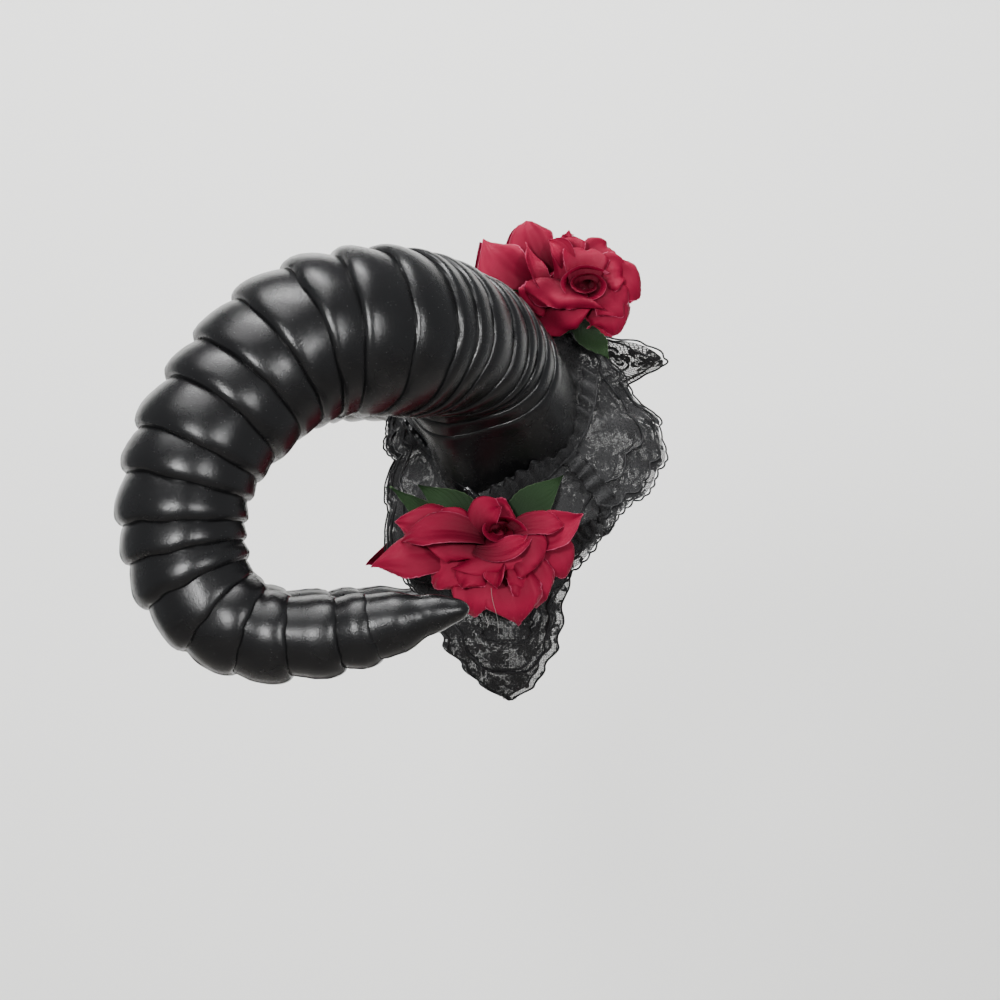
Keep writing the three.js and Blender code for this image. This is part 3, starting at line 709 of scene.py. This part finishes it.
# Roses: each is a stack of cut crimson satin-weave petals, curled by hand and lightly frayed,
# round a rolled heart. Every petal is a thin blade from root to tip, bowed, cupped and ruffled.
ROSES = {
    "top": {
        "heart": (0.044, -0.002, 0.024),
        "swirl": {"at": (-13, -1, 2), "wide": 14.5, "high": 10, "deep": 16, "turns": 2.4},
        "petals": (
            # layer, root, tip and bend (back, up, out in millimetres), width, look, cup, ruffle
            (0, (10, -5, -3), (43, 24, -4), (3, -4, 5), 29, (0.1, -0.1, 1), 0.15, 0.6),
            (0, (6, 4, -5), (20, 34, -6), (3, 0, 4), 25, (0.25, 0.1, 1), 0.25, 0.8),
            (0, (-10, 4, -5), (-27, 20, -8), (-2, 2, 3), 22, (-0.2, 0.2, 1), 0.1, 0.8),
            (0, (-16, -2, -5), (-43, -10, -2), (0, 6, 4), 25, (-0.3, 0.1, 1), 0.2, 1.4),
            (0, (-10, -8, -2), (-28, -31, 2), (-6, 3, 6), 27, (-0.2, -0.2, 1), -0.2, 1.0),
            (0, (2, -4, -3), (-7, -27, 0), (2, -3, 6), 38, (0.1, -0.5, 1), 0.1, 1.2),
            (0, (6, -3, -2), (19, -13, 0), (2, -2, 4), 22, (0.2, -0.6, 1), 0.1, 1.2),
            (1, (7, -6, 3), (17, 21, 5), (4, -2, 5), 14, (-0.9, 0, 0.8), 0.8, 0.4),
            (1, (2, -5, 2), (7, 16, 4), (-3, 0, 2), 18, (0.6, -0.8, 0.7), -0.3, 0.3),
            (1, (-4, 2, 4), (8, 23, 4), (-3, 2, 4), 12, (0.2, 0.4, 1), 0.5, 0.4),
            (1, (-4, 8, -3), (-4, 26, -2), (0, 2, 3), 18, (0, -0.9, 0.5), 0.2, 0.6),
            (1, (-12, -4, 4), (-14, 18, 1), (0, 5, 6), 26, (-0.1, 0.5, 1), 0.45, 0.6),
            (1, (-14, -4, 4), (-36, 3, 0), (0, 5, 5), 22, (-0.2, 0.3, 1), 0.3, 1.2),
            (1, (-5, -2, 7), (0, -16, 11), (1, 1, 3), 46, (0.1, 0.1, 1), -0.1, 2.2),
            (1, (-15, -5, 6), (-33, -20, 6), (-2, 4, 3), 25, (-0.3, 0.2, 1), 0.15, 1.6),
            (1, (0, -4, 5), (19, -4, 4), (0, -2, 2), 13, (0.1, 0.5, 1), -0.3, 1.0),
        ),
    },
    "side": {
        "heart": (0.102, 0.033, -0.116),
        "swirl": {"at": (-1, 7, 3), "wide": 13, "high": 9, "deep": 16, "turns": 1.6},
        "petals": (
            (0, (16, -6, -4), (70, -12, 0), (0, 3, 6), 24, (0.1, 0.3, 1), -0.3, 1.0),
            (0, (12, 0, -5), (57, 12, -6), (0, 2, 5), 28, (0.1, 0.2, 1), 0.1, 0.8),
            (0, (-4, 6, -2), (-46, 17, -2), (0, -6, 6), 22, (-0.1, 0.3, 1), 0.5, 0.6),
            (0, (-12, 4, -5), (-36, -20, -3), (-4, 4, 4), 26, (-0.4, 0.1, 1), -0.1, 0.8),
            (0, (6, -4, -2), (36, -25, 2), (2, 3, 6), 26, (0.2, 0.1, 1), 0.1, 1.6),
            (0, (4, -6, 0), (14, -41, 3), (4, 2, 7), 28, (0.3, -0.1, 1), 0.25, 1.0),
            (0, (-2, -8, 0), (-11, -46, 2), (0, 2, 8), 32, (0, -0.4, 1), 0.1, 0.8),
            (0, (-6, -6, 0), (-22, -36, 2), (-3, 2, 7), 26, (-0.3, 0, 1), 0.2, 0.8),
            (1, (10, 2, 6), (33, 16, 4), (0, 3, 6), 17, (0.1, 0.5, 1), 0.1, 0.8),
            (1, (9, 3, 8), (-2, 21, 8), (5, 3, 5), 19, (0.1, 0.5, 1), 0.2, 0.8),
            (1, (8, 3, 9), (56, 1, 2), (0, 5, 8), 20, (0.1, 0.6, 1), 0.2, 0.6),
            (1, (20, 4, 8), (26, -12, 8), (2, -1, 6), 46, (0.1, -0.1, 1), -0.15, 0.6),
            (1, (6, 2, 8), (2, -20, 9), (0, 0, 7), 46, (0, -0.1, 1), -0.15, 0.6),
            (1, (-2, -3, 9), (-23, -12, 10), (-3, 1, 4), 27, (-0.1, 0.1, 1), -0.1, 0.9),
            (1, (-6, 6, 8), (-36, 10, 5), (0, 3, 5), 15, (-0.1, 0.5, 1), 0.3, 0.8),
            (1, (4, -8, 7), (22, -24, 9), (2, 2, 5), 20, (0.2, 0.4, 1), -0.2, 1.2),
            (1, (0, -12, 8), (2, -25, 11), (0, 2, 4), 12, (0.5, 0.2, 1), 0.9, 0.4),
            (1, (-4, -10, 7), (-18, -26, 8), (0, 3, 5), 17, (-0.1, 0.6, 1), -0.1, 0.8),
            (2, (14, 7, -3), (-13, 7, -3), (0, 0, 0), 34, (0, 0, 1), 0.1, 0.2),
            (2, (13, -3, 13), (-18, 5, 13), (0, -5, 4), 13, (0, 0.5, 1), 0.3, 0.9),
        ),
    },
}
MM = 0.001
FRAY_GRAIN, FRAY_TIP, FRAY_SIDE = 22, 0.022, 0.05
TIP_ARCH, TIP_CURL, CURL_START = 0.16, 1.4, 0.74
POINTED, BLUNT = 0.80, 0.5


def rose_frame(rose, spot):
    out, back, up = rose["heart"]
    return Vector((-out - MM * spot.z, back + MM * spot.x, up + MM * spot.y))


def petal_piece(name, rose, row, number):
    _, root, tip, bend, wide, look, cup, ruffle = row
    root, tip, bend, look = Vector(root), Vector(tip), Vector(bend), Vector(look)
    elbow = (root + tip) / 2 + bend * 2
    length = (tip - root).length

    def place(u, v):
        s = 2 * u - 1
        fray = noise.noise(Vector((s * FRAY_GRAIN, v * FRAY_GRAIN, number * 3.1)))
        t = v * (1 - TIP_ARCH * s * s) + FRAY_TIP * fray * smooth((v - 0.9) / 0.1)
        spine = root * (1 - t) ** 2 + elbow * 2 * t * (1 - t) + tip * t * t
        ahead = (elbow - root) * (1 - t) + (tip - elbow) * t
        ahead.normalize()
        face = (look - ahead * look.dot(ahead)).normalized()
        aside = ahead.cross(face)
        half = 0.5 * wide * (0.3 + 0.7 * math.sin(math.pi * min(1, 0.08 + 0.72 * t)))
        half *= 1 - (POINTED if ruffle < 0.7 or length > 38 else BLUNT) * smooth((t - 0.6) / 0.4)
        waves = noise.noise(Vector((s * 1.6, t * 2.2, number * 7.7)))
        edge = max(0.0, abs(s) - 0.7) / 0.3
        flutter = 2.4 * waves * t + 0.5 * math.sin(s * 7 + number) * t * abs(s)
        push = cup * half * s * s + ruffle * flutter
        push -= (0.34 * half) * edge * edge * (1 + 1.5 * waves)
        push += 0.30 * half * abs(s) ** 1.2 * math.sin(number * 1.9 + 4 * t)
        push -= TIP_CURL * length * max(0.0, t - CURL_START) ** 2
        push += 0.12 * math.sin(s * 19 + number) * (1 - 0.75 * t) * min(1.0, length / 20)
        return rose_frame(rose, spine + aside * half * s * (1 + FRAY_SIDE * fray) + face * push)

    return grid_piece(name, 30, 34, place)


def swirl_piece(name, rose):
    swirl = rose["swirl"]

    def place(u, v):
        swing = 2 * math.pi * swirl["turns"] * v
        grow = 0.16 + 0.84 * v
        flare = 0.55 + 0.45 * u**0.8 + 0.10 * smooth((u - 0.85) / 0.15)
        wobble = 1 + 0.09 * noise.noise(Vector((math.cos(swing), math.sin(swing), v * 3)))
        high = swirl["deep"] * (u * (0.72 + 0.2 * (1 - v) + 0.10 * math.sin(swing * 1.5)) - 0.1)
        return rose_frame(rose, Vector(swirl["at"]) + Vector((
            swirl["wide"] * grow * flare * wobble * math.cos(swing),
            swirl["high"] * grow * flare * wobble * math.sin(swing) - 1.2 * u,
            high)))

    return grid_piece(name, 16, 150, place)


def join(pieces, name):
    bpy.ops.object.select_all(action="DESELECT")
    for piece in pieces:
        piece.select_set(True)
    bpy.context.view_layer.objects.active = pieces[0]
    bpy.ops.object.join()
    pieces[0].name = name
    pieces[0].data.name = name
    return pieces[0]


def surface(piece):
    """Cloth neither stretches nor shrinks, so a petal or leaf was cut with the area that it has."""
    return sum(face.area for face in piece.data.polygons)


def mix_tones(tree, factor, first, second):
    """Mixes two tones, each a colour or an output, from the first at 0 to the second at 1."""
    mix = tree.nodes.new("ShaderNodeMix")
    mix.data_type = "RGBA"
    factor_in, first_in, second_in = mix.inputs[0], mix.inputs[6], mix.inputs[7]
    tree.links.new(factor, factor_in)
    for socket, tone in ((first_in, first), (second_in, second)):
        if isinstance(tone, tuple):
            socket.default_value = tone
        else:
            tree.links.new(tone, socket)
    return mix.outputs[2]


def cloth_material(name, colour, edge_colour, weave, roughness):
    """Woven cloth with a lighter frayed rim and painted shade that darkens it towards its root, on the
    piece's own map from 0 to 1.
    """
    cloth, tree, body = material(name, colour, roughness)
    body.inputs["Specular IOR Level"].default_value = 0.22
    own = tree.nodes.new("ShaderNodeUVMap")
    split = tree.nodes.new("ShaderNodeSeparateXYZ")
    tree.links.new(own.outputs["UV"], split.inputs["Vector"])
    off_side = maths(tree, "MINIMUM", split.outputs["X"], maths(tree, "SUBTRACT", 1.0, split.outputs["X"]))
    off_rim = maths(tree, "MINIMUM", off_side, maths(tree, "SUBTRACT", 1.0, split.outputs["Y"]))
    rim = maths(tree, "LESS_THAN", off_rim, maths(tree, "MULTIPLY", speckle(tree, 900), 0.030))
    pale, dark, shadow = ([c * share for c in colour] for share in (1.18, 0.82, 0.14))
    shades = mix_tones(tree, speckle(tree, 60), (*dark, 1), (*pale, 1))
    rimmed = mix_tones(tree, rim, shades, (*edge_colour, 1))
    # Painted shade: towards its root each petal and leaf is darkened to shadow, 0.14 of its colour, for the
    # shade that falls between the petals.
    deep = spread_out(tree, split.outputs["Y"], (0, 0.72), (0.95, 0))
    tree.links.new(mix_tones(tree, deep, rimmed, (*shadow, 1)), body.inputs["Base Color"])
    warp = maths(tree, "SINE", maths(tree, "MULTIPLY", split.outputs["X"], weave))
    weft = maths(tree, "SINE", maths(tree, "MULTIPLY", split.outputs["Y"], weave))
    bump(tree, body, maths(tree, "MULTIPLY", warp, weft), 0.00025, 0.35)
    return cloth


rose_cloth = cloth_material("rose_cloth", (0.35, 0.006, 0.043), (0.62, 0.08, 0.17), 260, 0.55)
for rose_name, rose in ROSES.items():
    layers = {0: [], 1: [], 2: []}
    for number, row in enumerate(rose["petals"]):
        layers[row[0]].append(petal_piece(f"petal_{rose_name}_{number}", rose, row, number))
    layers[2].append(swirl_piece(f"swirl_{rose_name}", rose))
    for level, petals in layers.items():
        layer = join(petals, f"rose_{rose_name}_right_layer_{level + 1}")
        layer.data.materials.append(rose_cloth)
        shade(layer)
        twin = mirrored_copy(layer, f"rose_{rose_name}_left_layer_{level + 1}")
        shade(twin)
        cut = surface(layer)
        for piece, side_name in ((layer, "right"), (twin, "left")):
            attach(piece, "root")
            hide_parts(f"rose_{rose_name}_{side_name}")


# Leaves: single cut green cloth blades with pressed veins, glued behind the roses.
LEAVES = {
    # root and tip as out, back and up in millimetres, width, bow, the way across
    "top_front": ((36.5, -10.6, 3), (58, -27, -18), 15, 2, (0, 1, 0.2)),
    "top_back": ((35, 10.5, 5), (50, 31, 20), 16, 2, (0.5, -0.5, 0.6)),
    "side_back": ((86, 36.5, -111.3), (84, 76, -85), 18, 2, (0, 0, 1)),
    "side_front": ((86, 31.5, -111.3), (88, -2, -80), 18, 2, (0, 0, 1)),
    "side_rear": ((82.5, 44.9, -124), (70, 90, -86), 16, 2, (0.3, 0.1, 1)),
}
leaf_cloth = cloth_material("leaf_cloth", (0.025, 0.056, 0.021), (0.10, 0.17, 0.08), 120, 0.7)


def leaf_place(row, number):
    root, tip, wide, bow, across = row
    start = Vector((-root[0], root[1], root[2]))
    along = Vector((-tip[0], tip[1], tip[2])) - start
    aside = Vector((-across[0], across[1], across[2]))
    aside = (aside - along * aside.dot(along) / along.length_squared).normalized()
    face = along.cross(aside).normalized()

    def place(u, v):
        s = 2 * u - 1
        half = 0.5 * wide * (0.15 + 0.95 * math.sin(math.pi * min(1, 0.1 + 0.82 * v)) ** 0.9)
        half *= 1 - 0.97 * max(0.0, (v - 0.45) / 0.55) ** 1.7
        half *= 1 + 0.05 * abs(math.sin(v * 34))
        lift = bow * math.sin(math.pi * v) - 1.2 * s * s
        lift += 0.9 * noise.noise(Vector((s, v * 3, number * 2.3)))
        lift += 0.22 * math.cos(14 * (v - 0.5 * abs(s)) * 3.1)
        return MM * (start + along * v + aside * half * s + face * lift)

    return place


for number, (leaf_name, row) in enumerate(LEAVES.items()):
    leaf = grid_piece(f"leaf_blade_{leaf_name}_right", 24, 44, leaf_place(row, number))
    leaf.data.materials.append(leaf_cloth)
    shade(leaf)
    twin = mirrored_copy(leaf, f"leaf_blade_{leaf_name}_left")
    shade(twin)
    span = (Vector(row[1]) - Vector(row[0])).length * MM
    for piece, side_name in ((leaf, "right"), (twin, "left")):
        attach(piece, "root")
        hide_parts(f"leaf_{leaf_name}_{side_name}")

# Calyces: the plain dark green plastic cups that hold the roses down, kept as the solids are.
calyx_plastic, tree, body = material("calyx_plastic", (0.03, 0.08, 0.035), 0.5)
tree.links.new(spread_out(tree, speckle(tree, 300), (0, 1), (0.4, 0.6)), body.inputs["Roughness"])
for spot in ("top", "side"):
    for side_name in ("right", "left"):
        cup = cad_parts[f"calyx_{spot}_{side_name}"]
        cup.data.materials.clear()
        cup.data.materials.append(calyx_plastic)


# Hot glue: a black bead along the lower back of each horn foot, where it is stuck through the
# lace, with thin strings pulled off it, and two clear threads that hang below each side rose.
# Beads, strings and threads are wavy tubes, pressed on.
GLUE_LINE = ((0.0800, -0.0490), (0.0735, -0.0580), (0.0655, -0.0680), (0.0565, -0.0785),
             (0.0480, -0.0870), (0.0405, -0.0940), (0.0365, -0.0965))
GLUE_THREADS = (
    ((-0.1150, 0.0374, -0.1400), (-0.1140, 0.0331, -0.1640)),
    ((-0.1130, 0.0400, -0.1530), (-0.1120, 0.0390, -0.1610)),
)
BEAD_LIFT, BEAD_THICK, STRING_THICK, THREAD_THICK = 0.0125, 0.0036, 0.0004, 0.00018
GLUE_STRINGS = ((0, 4, 0.004), (1, 3, 0.006), (2, 5, 0.003), (3, 5, 0.007), (4, 6, 0.004))
glue, tree, body = material("black_glue", (0.010, 0.010, 0.011), 0.25)
body.inputs["Specular IOR Level"].default_value = 0.7
bump(tree, body, speckle(tree, 260), 0.001)


def glue_spot(v, lift):
    step = v * (len(GLUE_LINE) - 1)
    low = min(int(step), len(GLUE_LINE) - 2)
    back, up = [a + (b - a) * (step - low) for a, b in zip(GLUE_LINE[low], GLUE_LINE[low + 1])]
    sway = 0.0022 * noise.noise(Vector((v * 22, 1.0, 0.0)))
    return on_worn(worn_direction(back + sway, up + sway), lift)


def glue_bead(v):
    spot = glue_spot(v, BEAD_LIFT + 0.0020 * noise.noise(Vector((v * 30, 0.0, 4.0))))
    return spot, spot - WORN_MIDDLE


glue_pieces = [tube("glue_bead_right", glue_bead, BEAD_THICK, 10, 140)]
for number, (start, stop, sag) in enumerate(GLUE_STRINGS):
    def string_line(v, start=start, stop=stop, sag=sag):
        last = len(GLUE_LINE) - 1
        spot = glue_spot(start / last, 0.0145).lerp(glue_spot(min(stop, last) / last, 0.0135), v)
        spot += Vector((-0.6, 0.5, 0.2)) * sag * math.sin(math.pi * v)
        return spot, Vector((-1, 0, 0))
    glue_pieces.append(tube(f"glue_string_{number}", string_line, STRING_THICK, 5, 24))
threads = []
for number, (start, stop) in enumerate(GLUE_THREADS):
    def thread_line(v, start=Vector(start), stop=Vector(stop)):
        return start.lerp(stop, v) + Vector((0, 0.0004 * math.sin(7 * v), 0)), Vector((-1, 0, 0))
    threads.append(tube(f"glue_thread_{number}", thread_line, THREAD_THICK, 5, 24))
thread = join(threads, "glue_thread_right")
thread.data.materials.append(material("clear_glue", (0.36, 0.35, 0.33), 0.2)[0])
beads = join(glue_pieces, "glue_right")
beads.data.materials.append(glue)
beads_left = mirrored_copy(beads, "glue_left")
thread_left = mirrored_copy(thread, "glue_thread_left")
for piece in (beads, beads_left, thread, thread_left):
    shade(piece)
    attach(piece, "root")


# Frills: gathered strips of the same lace, one round the front of each horn foot and one beside
# each side rose, sewn along one edge so that their pleats stand up.
FRILL_PLEATS = 74
FRILLS = {
    # the sewn line as back and up in metres, then width, lift at the seam and at the free edge
    "front": (((-0.0040, -0.0720), (-0.0120, -0.0800), (-0.0235, -0.0960), (-0.0220, -0.1065),
               (-0.0120, -0.1120), (-0.0030, -0.1190)), 0.013, 0.0078, 0.0120),
    "foot": (((-0.0145, -0.0320), (-0.0135, -0.0440), (-0.0095, -0.0570), (-0.0020, -0.0690),
              (0.0085, -0.0790), (0.0215, -0.0880), (0.0340, -0.0950)), 0.012, 0.0075, 0.0150),
}


def frill_place(line, wide, low_lift, high_lift, u, v):
    step = v * (len(line) - 1)
    low = min(int(step), len(line) - 2)
    (back, up), (back_to, up_to) = line[low], line[low + 1]
    share = step - low
    ahead = Vector((back_to - back, up_to - up)).normalized()
    pleat = math.sin(v * FRILL_PLEATS + 2 * noise.noise(Vector((v * 9, wide * 100, 0.0))))
    shift = wide * (u - 0.5) * 0.8 + 0.0010 * pleat * u
    back += (back_to - back) * share - ahead.y * shift
    up += (up_to - up) * share + ahead.x * shift
    lift = low_lift + (high_lift - low_lift) * u + 0.0020 * pleat * (0.25 + 0.75 * u)
    return on_worn(worn_direction(back, up), lift)


for side_name, left in (("right", False), ("left", True)):
    for frill_name, (line, wide, low_lift, high_lift) in FRILLS.items():
        def frill_skin(u, v):
            return frill_place(line, wide, low_lift, high_lift, u, v)

        frill = grid_piece(f"lace_frill_{frill_name}_{side_name}", 16, 260, frill_skin)
        flat_map(frill, [(point.co.y * 140, point.co.z * 100) for point in frill.data.vertices])
        frill_edges = [
            tube(f"frill_{frill_name}_edge_{side_name}",
                 lambda v: (frill_skin(1.0, v), Vector((-1, 0, 0))), 0.0010, 6, 320),
            tube(f"frill_{frill_name}_seam_{side_name}",
                 lambda v: (frill_skin(0.1, v), Vector((-1, 0, 0))), 0.0012, 6, 260),
        ]
        for piece in (frill, *frill_edges):
            side_of(piece, left)
        sewn = sum((Vector(b) - Vector(a)).length for a, b in zip(line, line[1:]))
        finish_lace(frill, frill_edges, None)


# Fibres: loose black threads of the cloth and lace that stand off the crown of the band and the
# horn feet. Each is a thin curled tube.
FIBRES = 170
fibre_pieces = []
for number in range(FIBRES):
    seed = Vector((number * 1.37, number * 0.73, 2.0))
    turn = math.radians(8 + 62 * (0.5 + 0.5 * noise.noise(seed * 3.1))) * (-1 if number % 2 else 1)
    share = 0.95 * noise.noise(seed * 5.3)
    start = band_point(turn, max(-0.5, min(0.5, share)), 0.0072 if abs(turn) > 0.35 else 0.0030)
    drift = Vector((noise.noise(seed), noise.noise(seed + Vector((9, 0, 0))),
                    noise.noise(seed + Vector((0, 9, 0)))))

    def fibre_line(v, start=start, drift=drift, number=number):
        curl = Vector((math.sin(v * 5 + number), math.cos(v * 6 + number), math.sin(v * 4)))
        outward = (start - WORN_MIDDLE).normalized()
        spot = start + 0.014 * v * drift + 0.0020 * curl * v + 0.0022 * outward * math.sin(math.pi * v)
        return spot, outward

    fibre_pieces.append(tube(f"fibre_{number}", fibre_line, 0.00032, 3, 8))
fibres = join(fibre_pieces, "loose_fibres")
fibres.data.materials.append(lace_cord)
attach(fibres, "root")
